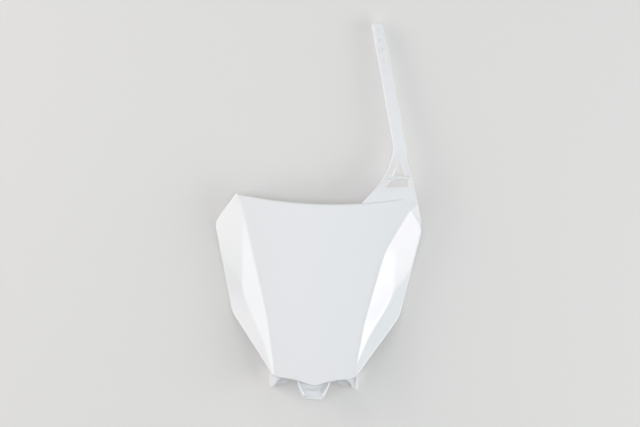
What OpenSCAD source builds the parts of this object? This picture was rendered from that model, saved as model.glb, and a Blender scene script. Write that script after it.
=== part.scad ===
// Racing number board: one moulding with a folded skin, a holed strap, a tongue and two ears.
// It lies face up. X runs across it, Y up it towards the strap, and Z out of its face.
// Heights on the board are measured from the waist, where the steep steps beside the panel are widest.

/* [Outline] */
// Width across the shoulders
shoulder_w = 239; // [229:0.2:248]
// Height of the shoulders above the waist
shoulder_y = 84.2; // [78:0.2:90]
// Width across the top corners
corner_w = 190.8; // [182:0.2:198]
// Height of the top corners above the waist
corner_y = 118; // [112:0.2:124]
// Height of the middle of the hollow top edge above the waist
top_y = 108.8; // [102:0.2:112]
// Width across the lower corners of the wings
hip_w = 192.2; // [184:0.2:200]
// Depth of the lower corners of the wings below the waist
hip_drop = 18.6; // [12:0.2:24]
// Width across the lower ends of the wings
foot_w = 95; // [90:0.2:100]
// Depth of the lower ends of the wings below the waist
foot_drop = 87.2; // [80:0.2:88]
// Width of the panel's bottom edge between its corners
chin_w = 82; // [76:0.5:86]
// Depth of the panel's bottom corners below the waist
chin_drop = 90.5; // [89:0.5:94]
// Depth of the middle of the bottom edge below the waist
chin_tip_drop = 98.6; // [95:0.2:102]
// Rise of the bottom edge for each millimetre from the middle towards its corners
chin_rise = 0.085; // [0.04:0.005:0.12]
// Half-width of the rounded dip in the middle of the bottom edge
chin_nose = 16; // [12:0.5:20]
// Length along each edge that the rounding of a shoulder takes
shoulder_round = 7; // [3:0.5:10]
// Length along each edge that the rounding of a lower corner takes
hip_round = 5.5; // [3:0.5:10]

/* [Skin] */
// Thickness of the moulded wall
wall = 2.4; // [2:0.1:3]
// How far the panel bulges forward of its folds
crown = 1.2; // [0.5:0.1:3]
// Fall of each half of the panel from the ridge along its middle, for each millimetre outwards
ridge_slope = 0.03; // [0.01:0.005:0.05]
// Half-width over which that ridge is rounded at the bottom edge
ridge_low = 3; // [2:0.5:8]
// Half-width over which that ridge is rounded at the top edge
ridge_high = 40; // [20:1:60]
// Width of the panel between its folds at the waist
waist_w = 122.6; // [116:0.2:128]
// Sideways run of the fold for each millimetre up the board
fold_lean = 0.254; // [0.24:0.002:0.27]
// Width of the panel between its folds at the ankle
ankle_w = 101.8; // [98:0.2:104]
// Depth of the ankle below the waist
ankle_drop = 50.2; // [46:0.2:54]
// Sideways run of the fold for each millimetre below the ankle
ankle_lean = 0.165; // [0.14:0.005:0.2]
// Extra sideways run of the fold under the strap's corner
strap_flare = 0.32; // [0.26:0.01:0.36]
// Height at which the fold starts to swing out to the strap's corner
strap_flare_y = 58; // [54:0.5:62]
// Half of the width over which a fold bends
fold_soft = 1.8; // [1:0.1:3]
// Width between the outer edges of the steep steps
step_w = 174; // [170:0.5:178]
// Fall of a steep step for each millimetre outwards
step_slope = 0.9; // [0.8:0.01:1]
// Fall of an upper wing for each millimetre outwards
wing_slope = 0.5; // [0.42:0.01:0.56]
// Fall of a lower wing for each millimetre away from its crease
low_wing_slope = 0.3; // [0.22:0.01:0.38]
// Least depth of the step beside the panel's foot
foot_step = 4.5; // [3:0.1:6]
// Half-width at the lower end of the crease above the lower wing
crease_low_x = 59.4; // [57:0.2:61]
// Depth below the waist of the lower end of that crease
crease_low_drop = 41; // [38:0.5:44]
// Half-width at the upper end of that crease
crease_high_x = 108; // [105:0.5:111]
// Height above the waist of the upper end of that crease
crease_high_y = 43; // [38:0.5:48]
// Width of the rolled band along the top edge
rim_w = 2.6; // [2:0.1:3.5]
// How far the rolled band drops at the very edge
rim_drop = 1.1; // [0.6:0.1:1.5]

/* [Back] */
// Thickness of the flanges and ribs behind the skin
rib_wall = 2.2; // [1.8:0.1:2.6]
// Depth of the flange behind the top edge
flange_h = 9; // [7:0.5:11]
// Depth of the upright ribs behind the panel
rib_h = 7; // [5:0.5:9]
// Distance between the two upright ribs
rib_span = 64; // [56:1:72]

/* [Bolt shelf] */
// Width of the shelf behind the panel
shelf_w = 40; // [34:1:46]
// Depth of the shelf behind the middle of the panel
shelf_depth = 25; // [23:0.5:26]
// Thickness of the shelf
shelf_t = 3.6; // [3:0.1:5]
// Height of the shelf's middle above the waist
shelf_y = 30; // [22:1:38]
// Diameter of the clearance hole for an M6 bolt
bolt_d = 6.6; // [6.2:0.1:7]
// Distance from the hole's middle to the shelf's free edge
bolt_edge = 8.5; // [7.5:0.1:10]

/* [Strap] */
// Width of the strap where it leaves its root
strap_root_w = 15; // [14:0.1:17]
// Width of the strap at its tip
strap_tip_w = 13; // [12:0.1:13.8]
// Thickness of the strap and of its root
strap_t = 3; // [2.4:0.1:3.6]
// Distance of the knee, where the strap leaves its root, right of the middle
knee_x = 90.4; // [88:0.2:93]
// Height of the knee above the waist
knee_y = 177; // [172:0.5:182]
// Length of the strap from the knee to its tip
strap_len = 146.4; // [120:0.2:170]
// Lean of the strap to the left, in degrees
strap_lean = 12; // [9:0.5:14]
// Fall of the strap towards the ground, in degrees
strap_fall = 3; // [1:0.5:4]
// Depth of the knee's face behind the middle of the panel
knee_z = 13; // [11:0.5:15]
// Diameter of the holes in the strap
hole_d = 3.2; // [2.8:0.1:4]
// Number of holes in the strap
hole_n = 4; // [2:1:6]
// Distance between the holes
hole_pitch = 12.1; // [9:0.1:14]
// Distance from the tip to the first hole
hole_end = 8; // [6:0.1:10]

/* [Strap root] */
// Distance right of the middle at which the root's left leg meets the top edge
root_left_x = 49; // [47:0.5:54]
// Depth of the root's face behind the middle of the panel where it passes behind the top edge
root_low_z = 7.6; // [7.4:0.1:8.5]
// Sideways fall of the root there, for each millimetre to the right
root_tilt = 0.06; // [0.04:0.01:0.1]
// Fall of the root along the slanted corner, for each millimetre past the fold's end
root_dive = 0.63; // [0.62:0.01:0.7]
// Height above the waist of the lower edge of the cross bar
bar_y = 139.3; // [137.5:0.1:141]
// Width of the cross bar
bar_w = 4.4; // [3.6:0.1:5]
// Rise of the cross bar for each millimetre to the right
bar_lean = 0.08; // [0:0.01:0.14]
// Height above the waist of the top of the three-cornered opening
eye_top_y = 162.4; // [158:0.2:165]
// Width of the three-cornered opening along the cross bar
eye_w = 14.4; // [12:0.1:15.5]
// Width of the slot under the cross bar, along the bar
slot_w = 19; // [16:0.1:20.5]
// Height of the slot
slot_h = 7.6; // [6:0.1:8.5]
// How much further the slot reaches to the left at its lower edge
slot_left = 6; // [4:0.1:7]
// How much further the slot reaches to the right at its lower edge
slot_right = 1.4; // [0.8:0.1:2.4]

/* [Tongue] */
// Width of the tongue where it leaves the panel
tongue_w = 37.2; // [34:0.2:40]
// Depth below the waist at which the tongue starts to narrow
tongue_neck_drop = 96.4; // [94:0.2:100]
// Width of the tongue above its end
tongue_end_w = 25.6; // [24:0.2:28]
// Width of the tongue's floor at its very end
tongue_tip_w = 18.8; // [16:0.2:20]
// Depth of the tongue's end below the waist
tongue_drop = 114.8; // [112:0.2:118]
// Length of the tapered end of the floor
tongue_nose = 3.8; // [3:0.1:5]
// Width of the tongue's side rims
tongue_rim = 3.2; // [2.4:0.1:3.6]
// Depth of the tongue's rims behind the middle of the panel
tongue_z = 4.6; // [4.2:0.1:5.6]
// Depth of the channel between the rims
channel_h = 3.6; // [3:0.1:5]

/* [Ears] */
// Width across the ears
ear_w = 101.4; // [99:0.2:104]
// Thickness of an ear's upright wall
ear_t = 2.6; // [2.2:0.1:3.2]
// Depth of the ears' lower ends below the waist
ear_drop = 101.6; // [99:0.2:103]
// Depth below the waist at which an ear's wall starts
ear_start = 66; // [62:0.5:70]
// Depth of the ears' web behind the middle of the panel
ear_web_z = 6.4; // [5.8:0.1:8]
// Width of an ear's web from the ear's wall inwards
ear_web_w = 15; // [12:0.5:18]
// Depth of the cross rib's lower edge behind the middle of the panel
cross_rib_z = 13; // [11:0.5:15]
// Width of the low shelf beside the ear's wall, flush with the cross rib's lower edge
ear_shelf_w = 24; // [20:0.5:27]

/* [Prong] */
// Clearance between the prong and a strap hole, on the diameter
prong_gap = 0.4; // [0.2:0.1:0.6]
// Distance of the prong left of the middle
prong_x = 74; // [70:1:80]
// Distance of the prong below the top edge
prong_below = 9; // [7:0.5:12]
// Length of the prong's neck between its foot and its head
prong_neck = 4.2; // [3.8:0.1:6]

/* [Hidden] */
$fn = 48;

// Half of the outline as corner points, from the bottom edge to the top edge
chin = [chin_w / 2, -chin_drop];
foot = [foot_w / 2, -foot_drop];
hip = [hip_w / 2, -hip_drop];
shoulder = [shoulder_w / 2, shoulder_y];
corner = [corner_w / 2, corner_y];

// Lower and upper ends of the crease above the lower wing
crease_low = [crease_low_x, -crease_low_drop];
crease_high = [crease_high_x, crease_high_y];

// Grid of the skin: rows on each straight edge and on each rounding, and columns in each field
foot_rows = 9;
side_rows = 11;
slant_rows = 4;
round_rows = 4;
panel_cols = 5;
step_cols = 3;
wing_cols = 4;
// Half-width of the band of columns along the outer edge of the steep step
step_soft = 1.5;
// Small step with which slopes are measured
probe = 0.05;
// Stations along the upright ribs and along an ear
rib_steps = 16;
ear_steps = 8;
// Share of the slanted corner that lies above the end of the panel's fold
fold_share = 0.37;
// Distance of the flange's outer face inside the edge
flange_inset = 0.5;
// Height of the cross rib behind the bottom edge
cross_y = -chin_drop + 5.5;
cross_y_gap = cross_y + chin_drop;
// Cross ridges and end lip of the tongue
ridge_w = 0.9;
ridge_gap = 2;
lip_h = 1.2;

function lerp(a, b, t) = a + (b - a) * t;
function clamp(v, low, high) = min(max(v, low), high);
function unit(v) = v / norm(v);
function soft_max(a, b, k) = (a + b + sqrt((a - b) * (a - b) + k * k)) / 2;
function soft_min(a, b, k) = (a + b - sqrt((a - b) * (a - b) + k * k)) / 2;
function ease(t) = let(c = clamp(t, 0, 1)) c * c * (3 - 2 * c);

// Points from a towards b, without b
function run(a, b, n) = [for (i = [0 : n - 1]) lerp(a, b, i / n)];

// Rounding of corner b between the edges to a and c, as a quadratic curve that starts d before b
function bend(a, b, c, d, n) =
  let (p = b + unit(a - b) * d, q = b + unit(c - b) * d)
  [for (i = [0 : n]) let (t = i / n) (1 - t) * (1 - t) * p + 2 * t * (1 - t) * b + t * t * q];

// Right edge of the board, from the bottom edge to the top edge
hip_arc = bend(foot, hip, shoulder, hip_round, round_rows);
shoulder_arc = bend(hip, shoulder, corner, shoulder_round, round_rows);
rim_start = corner + unit(shoulder - corner) * rim_w;
edge = concat(
  [chin],
  run(foot, hip_arc[0], foot_rows),
  hip_arc,
  [for (i = [1 : side_rows]) lerp(hip_arc[round_rows], shoulder_arc[0], i / (side_rows + 1))],
  shoulder_arc,
  [for (i = [1 : slant_rows]) lerp(shoulder_arc[round_rows], rim_start, i / slant_rows)],
  [lerp(rim_start, corner, 0.6), corner]
);

// Top and bottom edges, as heights over the distance from the middle
function top_edge(x) = lerp(top_y, corner_y, pow(x / corner[0], 2));
function chin_edge(x) =
  let (rise = chin_rise * (chin[0] - abs(x)), nose = chin_tip_drop - chin_drop - chin_rise * chin[0])
  -chin_drop - rise - nose * exp(-pow(x / chin_nose, 2));

// Distance of the fold from the middle: two straight runs, and a swing outwards on the strap's side
function fold_x(y, side) =
  let (
    thigh = waist_w / 2 + fold_lean * y,
    shin = ankle_w / 2 + ankle_lean * (y + ankle_drop),
    rise = y - strap_flare_y,
    swing = side > 0 ? strap_flare * soft_max(rise, 0, 6) : 0
  )
  soft_max(thigh, shin, 0.5) + swing;

// Distance of the outer edge of the steep step from the middle
function step_x(y, side) =
  let (
    t = (y - crease_low[1]) / (crease_high[1] - crease_low[1]),
    slanted = lerp(crease_low[0], crease_high[0], t)
  )
  max(min(step_w / 2, slanted), fold_x(y, side) + foot_step / step_slope);

// Depth of each field of the skin at x, y on one side of the middle
function panel_z(x, y) =
  let (k = lerp(ridge_low, ridge_high, (y + chin_tip_drop) / (corner_y + chin_tip_drop)))
  -crown * pow(x / (waist_w / 2), 2) - ridge_slope * (sqrt(x * x + k * k) - k);
function step_z(x, y, side) =
  let (w = fold_x(y, side)) panel_z(w, y) - step_slope * (x - w);
function wing_z(x, y) = step_z(step_w / 2, y, -1) - wing_slope * (x - step_w / 2);
function low_wing_z(x, y) =
  let (
    along = unit(crease_high - crease_low),
    from = [x, y] - crease_low,
    run_along = from * along,
    run_out = from * [along[1], -along[0]],
    low = step_z(crease_low[0], crease_low[1], -1),
    high = wing_z(crease_high[0], crease_high[1])
  )
  lerp(low, high, run_along / norm(crease_high - crease_low)) - low_wing_slope * run_out;
function foot_z(x, y) =
  let (w = fold_x(y, -1)) panel_z(w, y) - foot_step - 0.12 * (x - w);

// Face of the skin: the panel lies over the fields beside it, which meet in soft creases
function face_z(px, y) =
  let (
    side = px < 0 ? -1 : 1,
    x = abs(px),
    low = soft_min(low_wing_z(x, y), foot_z(x, y), 1),
    outer = soft_max(soft_max(step_z(x, y, side), wing_z(x, y), 1.5), low, 1),
    rolled = rim_drop * pow(1 - clamp((top_edge(x) - y) / rim_w, 0, 1), 2)
  )
  soft_min(panel_z(x, y), outer, fold_soft) - rolled;

// Upright thickness of a wall of the given thickness square to the face
function upright(x, y, t) =
  let (
    gx = (face_z(x + probe, y) - face_z(x - probe, y)) / (2 * probe),
    gy = (face_z(x, y + probe) - face_z(x, y - probe)) / (2 * probe)
  )
  t * sqrt(1 + gx * gx + gy * gy);

// Distances from the middle of the grid's columns, in the row whose edge point is p
function columns(p, side) =
  let (
    w = min(fold_x(p[1], side), p[0] - 9),
    b = clamp(step_x(p[1], side), w + fold_soft * 1.4 + step_soft + 1, p[0] - step_soft - 1.5)
  )
  concat(
    run(0, w - fold_soft * 1.4, panel_cols),
    [w - fold_soft * 1.4, w - fold_soft * 0.45, w + fold_soft * 0.45],
    run(w + fold_soft * 1.4, b - step_soft, step_cols),
    [b - step_soft],
    run(b + step_soft, p[0], wing_cols),
    [p[0]]
  );

// Height of a grid point: level with its edge point, bowed like the top and the bottom edges
function row_y(p, x) =
  let (
    s = (p[1] + chin_drop) / (corner_y + chin_drop),
    high = top_edge(corner[0] * x / p[0]) - corner_y,
    low = chin_edge(chin[0] * x / p[0]) + chin_drop
  )
  p[1] + s * s * high + (1 - s) * (1 - s) * low;

// One row of the grid, from the left edge to the right edge
function row(p) =
  let (left = columns(p, -1), right = columns(p, 1), n = len(left))
  concat(
    [for (i = [n - 1 : -1 : 1]) [-left[i], row_y(p, left[i])]],
    [for (x = right) [x, row_y(p, x)]]
  );

rows = [for (p = edge) row(p)];
row_n = len(rows);
col_n = len(rows[0]);

// Closed sheet between an upper and a lower grid of points, rows running up the board
function sheet_faces(rn, cn) =
  let (half = rn * cn, last_r = rn - 1, last_c = cn - 1)
  concat(
    [for (r = [0 : rn - 2], c = [0 : cn - 2], f = [0, 1])
      let (a = r * cn + c, b = a + 1, d = a + cn, e = d + 1)
      f == 0 ? [a, d, e] : [a, e, b]],
    [for (r = [0 : rn - 2], c = [0 : cn - 2], f = [0, 1])
      let (a = half + r * cn + c, b = a + 1, d = a + cn, e = d + 1)
      f == 0 ? [a, e, d] : [a, b, e]],
    [for (c = [0 : cn - 2], f = [0, 1])
      let (a = c, b = c + 1) f == 0 ? [a, b, half + b] : [a, half + b, half + a]],
    [for (c = [0 : cn - 2], f = [0, 1])
      let (a = last_r * cn + c, b = a + 1) f == 0 ? [a, half + b, b] : [a, half + a, half + b]],
    [for (r = [0 : rn - 2], f = [0, 1])
      let (a = r * cn, b = a + cn) f == 0 ? [a, half + b, b] : [a, half + a, half + b]],
    [for (r = [0 : rn - 2], f = [0, 1])
      let (a = r * cn + last_c, b = a + cn) f == 0 ? [a, b, half + b] : [a, half + b, half + a]]
  );

// Lowest point of the board, on which it lies
ground = min([for (r = rows, p = [r[0], r[col_n - 1]]) face_z(p[0], p[1]) - upright(p[0], p[1], wall)]);

// Front skin, a lofted sheet with its folds and creases
module skin() {
  top = [for (r = rows, p = r) [p[0], p[1], face_z(p[0], p[1])]];
  under = [for (r = rows, p = r) [p[0], p[1], face_z(p[0], p[1]) - upright(p[0], p[1], wall)]];
  polyhedron(concat(top, under), sheet_faces(row_n, col_n), convexity = 6);
}

// Middle of the skin's wall, in which whatever stands behind the skin ends
function inside_z(x, y) = face_z(x, y) - upright(x, y, wall / 2);

// Closed body between the first and the last of its sections, which all have m points
function sweep_faces(n, m) = concat(
  [for (i = [0 : n - 2], j = [0 : m - 1], f = [0, 1])
    let (a = i * m + j, b = i * m + (j + 1) % m)
    f == 0 ? [a, b, b + m] : [a, b + m, a + m]],
  [[for (j = [m - 1 : -1 : 0]) j]],
  [[for (j = [0 : m - 1]) (n - 1) * m + j]]
);

// Normals of a path on its left
function left_of(path, i) =
  let (d = unit(path[min(i + 1, len(path) - 1)] - path[max(i - 1, 0)])) [-d[1], d[0]];
function shifted(path, d) = [for (i = [0 : len(path) - 1]) path[i] + d * left_of(path, i)];

// Wall of thickness t that stands behind the skin along a path, down to the given depths
module wall_along(path, t, bottoms) {
  left = shifted(path, t / 2);
  right = shifted(path, -t / 2);
  points = [for (i = [0 : len(path) - 1])
    let (top = inside_z(path[i][0], path[i][1]), low = bottoms[i])
    each [
      [left[i][0], left[i][1], top], [left[i][0], left[i][1], low],
      [right[i][0], right[i][1], low], [right[i][0], right[i][1], top]
    ]];
  polyhedron(points, sweep_faces(len(path), 4), convexity = 6);
}

// Point of the right slanted corner at which the panel's fold ends
fold_end = corner + (shoulder - corner) * fold_share;

// Face of the strap and its root: it falls gently towards the tip, is level at the knee,
// and follows the slanted corner where it meets the board
function root_z(x, y) =
  let (
    t = ease((knee_y - y) / (knee_y - corner_y)),
    past = max(y - knee_y, 0),
    dive = soft_max(([x, y] - fold_end) * unit(shoulder - corner), 0, 3)
  )
  lerp(-knee_z, -root_low_z, t) - t * (root_tilt * (x - knee_x) + root_dive * dive) - tan(strap_fall) * past;

// Line just inside the top edge and the slanted corners, from the left shoulder to the right one
slant_end = [for (i = [0 : slant_rows]) edge[row_n - 3 - slant_rows + i]];
flange_path = shifted(concat(
  [for (p = slant_end) [-p[0], p[1]]],
  [for (i = [-12 : 12]) let (x = corner[0] * i / 12) [x, top_edge(x)]],
  [for (i = [slant_rows : -1 : 0]) slant_end[i]]
), -rib_wall / 2 - flange_inset);
flange_n = len(flange_path);

// Flange behind the top edge, deeper where it carries the strap's root
module flange() {
  deepest = root_z(shoulder[0], shoulder[1]) - strap_t / 2;
  bottoms = [for (p = flange_path)
    let (plain = max(face_z(p[0], p[1]) - flange_h, deepest))
    p[0] > root_left_x ? min(plain, root_z(p[0], p[1]) - strap_t / 2) : plain];
  wall_along(flange_path, rib_wall, bottoms);
}

// Two upright ribs that stiffen the panel
module panel_ribs() {
  for (side = [-1, 1]) {
    path = [for (i = [0 : rib_steps])
      [side * rib_span / 2, lerp(cross_y, top_edge(rib_span / 2) - rib_wall, i / rib_steps)]];
    wall_along(path, rib_wall, [for (p = path) face_z(p[0], p[1]) - rib_h]);
  }
}

// Shelf behind the panel with a hole for a bolt that runs up the board, and its two gussets
module bolt_shelf() {
  difference() {
    union() {
      translate([0, shelf_y + shelf_t / 2, 0])
        rotate([90, 0, 0])
          linear_extrude(shelf_t)
            polygon([
              [-shelf_w / 2, -wall / 2], [-shelf_w / 2, -shelf_depth / 2],
              [-bolt_edge * 1.2, -shelf_depth], [bolt_edge * 1.2, -shelf_depth],
              [shelf_w / 2, -shelf_depth / 2], [shelf_w / 2, -wall / 2]
            ]);
      for (side = [-1, 1])
        translate([side * (shelf_w / 2 - rib_wall) - rib_wall / 2, shelf_y, 0])
          rotate([90, 0, 90])
            linear_extrude(rib_wall)
              polygon([
                [0, -wall / 2], [0, -shelf_depth / 2], [-shelf_depth * 0.8, -wall * 1.5],
                [-shelf_depth * 0.8, -wall / 2]
              ]);
    }
    translate([0, shelf_y, bolt_edge - shelf_depth])
      rotate([90, 0, 0])
        cylinder(d = bolt_d, h = shelf_t * 3, center = true);
  }
}

// Prong behind the top left corner, over which a hole of the strap is hooked
module prong() {
  y = top_edge(prong_x) - prong_below;
  foot_z = inside_z(-prong_x, y) - wall;
  neck_d = hole_d - prong_gap;
  translate([-prong_x, y, foot_z - prong_neck]) {
    cylinder(d = neck_d, h = prong_neck + wall / 2);
    translate([0, 0, prong_neck - wall])
      cylinder(d = neck_d * 2.2, h = wall * 1.5);
    translate([0, 0, -neck_d * 0.7])
      cylinder(d1 = neck_d * 0.9, d2 = neck_d * 1.5, h = neck_d * 0.7);
  }
}

// Outline of the strap and its root, seen from the front
knee = [knee_x, knee_y];
strap_dir = [-sin(strap_lean), cos(strap_lean)];
strap_side = [cos(strap_lean), sin(strap_lean)];
function strap_point(across, up) = knee + across * strap_side + up * strap_dir;
function curve(a, b, c, d, n) = [for (i = [0 : n])
  let (t = i / n, s = 1 - t) s * s * s * a + 3 * s * s * t * b + 3 * s * t * t * c + t * t * t * d];
left_knee = [knee_x - strap_root_w / 2, knee_y];
right_knee = [knee_x + strap_root_w / 2, knee_y];
left_foot = [root_left_x, top_edge(root_left_x) + 1];
right_foot = [shoulder[0] - 1.4, shoulder[1] + shoulder_round * 0.7];
root_height = knee_y - corner_y;
left_leg = curve(
  left_knee, left_knee + [-0.4, -root_height * 0.45],
  left_foot + [root_height * 0.32, root_height * 0.34], left_foot, 14
);
right_leg = curve(
  right_knee, right_knee + [0.6, -root_height * 0.32],
  right_foot + [-root_height * 0.21, root_height], right_foot, 14
);
tip_r = strap_tip_w / 2;
// The tip is a squarish round: each share of its circle is raised to a power below 1
tip_power = 0.7;
tip_arc = [for (a = [0 : 12 : 180])
  let (across = sign(cos(a)) * pow(abs(cos(a)), tip_power), up = pow(sin(a), tip_power))
  strap_point(tip_r * across, strap_len - tip_r + tip_r * up)];
root_seat = [for (i = [flange_n - 1 : -1 : 0]) if (flange_path[i][0] > root_left_x) flange_path[i]];
strap_outline = concat(
  [for (i = [14 : -1 : 0]) left_leg[i]],
  [for (i = [len(tip_arc) - 1 : -1 : 0]) tip_arc[i]],
  right_leg,
  root_seat
);

// A point on the cross bar's lower edge, or a given rise over it
function on_bar(x, rise) = [knee_x + x, bar_y + bar_lean * x + rise];

module strap() {
  rows_y = concat([for (i = [0 : 11]) lerp(shoulder_y - 8, knee_y, i / 11)], [knee_y + strap_len + 8]);
  cols_x = [for (i = [0 : 8]) lerp(root_left_x - 30, shoulder[0] + 6, i / 8)];
  top = [for (y = rows_y, x = cols_x) [x, y, root_z(x, y)]];
  under = [for (p = top) p - [0, 0, strap_t]];
  intersection() {
    polyhedron(concat(top, under), sheet_faces(len(rows_y), len(cols_x)), convexity = 4);
    translate([0, 0, ground - 20])
      linear_extrude(60)
        difference() {
          polygon(strap_outline);
          for (i = [0 : hole_n - 1])
            translate(strap_point(0, strap_len - hole_end - i * hole_pitch))
              circle(d = hole_d);
          polygon([on_bar(-eye_w / 2, bar_w), on_bar(eye_w / 2, bar_w), [knee_x + 0.2, eye_top_y]]);
          polygon([
            on_bar(-slot_w / 2, 0), on_bar(slot_w / 2, 0),
            on_bar(slot_w / 2 + slot_right, -slot_h), on_bar(-slot_w / 2 - slot_left, -slot_h)
          ]);
        }
  }
}

// Rounded bar across the strap's root
module cross_bar() {
  half = slot_w / 2 + 2.5;
  a = on_bar(-half, bar_w / 2);
  b = on_bar(half, bar_w / 2);
  za = root_z(a[0], a[1]) - strap_t / 2;
  zb = root_z(b[0], b[1]) - strap_t / 2;
  run_v = [b[0] - a[0], b[1] - a[1], zb - za];
  translate([a[0], a[1], za])
    rotate([0, acos(run_v[2] / norm(run_v)), atan2(run_v[1], run_v[0])])
      cylinder(d = bar_w, h = norm(run_v));
}

// Half-widths of the tongue, less an inset, at its root, at its shoulders and at its end
module tongue_plan(inset, start_y, end_y) {
  root = tongue_w / 2 - inset;
  end = tongue_end_w / 2 - inset;
  tip = tongue_tip_w / 2 - inset;
  bend_y = -tongue_drop + tongue_nose;
  polygon([
    [-root, start_y], [-root, -tongue_neck_drop], [-end, bend_y], [-tip, end_y],
    [tip, end_y], [end, bend_y], [root, -tongue_neck_drop], [root, start_y]
  ]);
}

// Tongue: a channel with rims, two fine cross ridges and a low lip at its end
module tongue() {
  floor_z = -tongue_z - channel_h;
  ridge_y = -(chin_tip_drop + tongue_drop) / 2 + 4.2;
  translate([0, 0, floor_z - wall])
    linear_extrude(wall)
      tongue_plan(0, cross_y, -tongue_drop);
  translate([0, 0, floor_z - wall / 2])
    linear_extrude(channel_h + wall / 2)
      difference() {
        tongue_plan(0, cross_y, -tongue_drop);
        tongue_plan(tongue_rim, cross_y + 5, -tongue_drop - 1);
        translate([-tongue_w / 2, -tongue_drop - 1])
          square([tongue_w, tongue_nose + 1]);
      }
  for (side = [-1, 1])
    translate([side * (tongue_w / 2 - tongue_rim / 2) - rib_wall / 2, -chin_drop, floor_z])
      cube([rib_wall, cross_y_gap, -floor_z - wall / 2]);
  for (i = [0, 1])
    translate([tongue_rim - tongue_end_w / 2, ridge_y - i * ridge_gap, floor_z - wall / 2])
      cube([tongue_end_w - 2 * tongue_rim, ridge_w, ridge_w + wall / 2]);
  translate([-tongue_tip_w / 2, -tongue_drop + 0.3, floor_z - wall / 2])
    cube([tongue_tip_w, rib_wall, wall / 2 + lip_h]);
}

// Ear: an upright wall down to the ground, its curved web, and the low shelf that ties it to the cross rib
module ear(side) {
  x = side * (ear_w - ear_t) / 2;
  path = [for (i = [0 : ear_steps]) [x, lerp(-ear_start, -ear_drop, i / ear_steps)]];
  bottoms = [for (i = [0 : ear_steps]) lerp(-wall * 4, ground, ease(i / ear_steps * 1.8))];
  wall_along(path, ear_t, bottoms);
  far = ear_w / 2 - ear_t / 2;
  tip = [far - 2, -ear_drop];
  web = concat(
    [[far, cross_y], [far, -ear_drop + 0.6]],
    curve(tip, tip + [-3, 0.6], [far - 6.5, -chin_drop - 5], [far - 8.5, -chin_drop - 3.6], 8),
    curve([far - 9.5, -chin_drop - 3], [far - 11, -chin_drop - 2.2], [far - 13, -chin_drop - 2.4],
      [far - ear_web_w, cross_y], 8)
  );
  shelf = concat(
    [[far, cross_y], [far, -ear_drop + 4]],
    curve([far - 1, -ear_drop + 3.6], [far - 8, -ear_drop + 2.6], [far - ear_shelf_w + 7, -ear_drop + 2.6],
      [far - ear_shelf_w, -chin_drop - 3], 8),
    [[far - ear_shelf_w - 1, cross_y]]
  );
  translate([0, 0, -cross_rib_z])
    linear_extrude(rib_wall)
      polygon([for (p = shelf) [side * p[0], p[1]]]);
  translate([0, 0, -ear_web_z - rib_wall])
    linear_extrude(rib_wall)
      polygon([for (p = web) [side * p[0], p[1]]]);
}

// Rib from ear to ear, hidden behind the bottom edge
module cross_rib() {
  half = (ear_w - ear_t) / 2;
  path = [for (i = [-8 : 8]) [half * i / 8, cross_y]];
  wall_along(path, rib_wall, [for (p = path) -cross_rib_z]);
}

// The origin lies under the middle of the whole board, strap and all, on the ground
strap_end_y = max([for (p = tip_arc) p[1]]);
middle_y = (strap_end_y - tongue_drop) / 2;

module number_board() {
  color("white") translate([0, -middle_y, -ground]) {
    skin();
    flange();
    panel_ribs();
    bolt_shelf();
    prong();
    strap();
    cross_bar();
    tongue();
    cross_rib();
    ear(-1);
    ear(1);
  }
}

number_board();
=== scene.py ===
"""A white racing number board: its moulded surfaces, its plastic, and the studio it lies in.

Sizes are in millimetres from the middle of the board's waist, as on the part's drawing, with X across
the board, Y up it towards the strap and Z out of its face. They become metres in the row frame when a
mesh is made.
"""

import logging
import math
from dataclasses import dataclass
from enum import Enum
from typing import Callable, Sequence

import bmesh
import bpy
import numpy as np
from mathutils import Matrix, Vector, geometry


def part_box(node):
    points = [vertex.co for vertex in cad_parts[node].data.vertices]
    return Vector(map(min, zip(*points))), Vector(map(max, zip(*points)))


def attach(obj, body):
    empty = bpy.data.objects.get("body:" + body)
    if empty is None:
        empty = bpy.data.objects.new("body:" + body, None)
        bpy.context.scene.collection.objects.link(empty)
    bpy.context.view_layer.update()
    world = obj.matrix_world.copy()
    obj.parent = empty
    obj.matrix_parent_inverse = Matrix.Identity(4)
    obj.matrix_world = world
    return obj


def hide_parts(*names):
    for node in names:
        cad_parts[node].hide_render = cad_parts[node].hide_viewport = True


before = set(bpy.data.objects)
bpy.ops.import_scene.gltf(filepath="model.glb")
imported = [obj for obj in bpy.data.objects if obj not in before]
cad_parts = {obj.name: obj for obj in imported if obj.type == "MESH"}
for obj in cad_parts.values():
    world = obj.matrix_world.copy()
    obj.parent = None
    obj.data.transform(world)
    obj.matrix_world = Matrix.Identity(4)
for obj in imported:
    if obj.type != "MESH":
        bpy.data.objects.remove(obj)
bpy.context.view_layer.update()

Array = np.ndarray
Value = float | Array
Depth = Callable[[Array, Array], Array]

MM = 0.001
SHARP_DEG = 40  # edges that turn by more than this stay sharp
NODE = "number_board"
BODY = "root"
log = logging.getLogger("number_board")


class Side(Enum):
    """The sides of the board, by the sign of X on them. The strap stands on the right one."""

    LEFT = -1
    RIGHT = 1


def lerp(a: Value, b: Value, t: Value) -> Value:
    """Returns the value that lies the share t of the way from a to b."""
    return a + (b - a) * t


def soft_max(a: Array, b: Array, k: float) -> Array:
    """Returns the larger of a and b, rounded where they meet: the upper branch of a hyperbola."""
    return (a + b + np.sqrt((a - b) ** 2 + k * k)) / 2


def soft_min(a: Array, b: Array, k: float) -> Array:
    """Returns the smaller of a and b, rounded where they meet: the lower branch of a hyperbola."""
    return (a + b - np.sqrt((a - b) ** 2 + k * k)) / 2


def ease(t: Array) -> Array:
    """Returns 0 below 0, 1 above 1, and the smooth cubic 3t2 - 2t3 between."""
    c = np.clip(t, 0, 1)
    return c * c * (3 - 2 * c)


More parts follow.
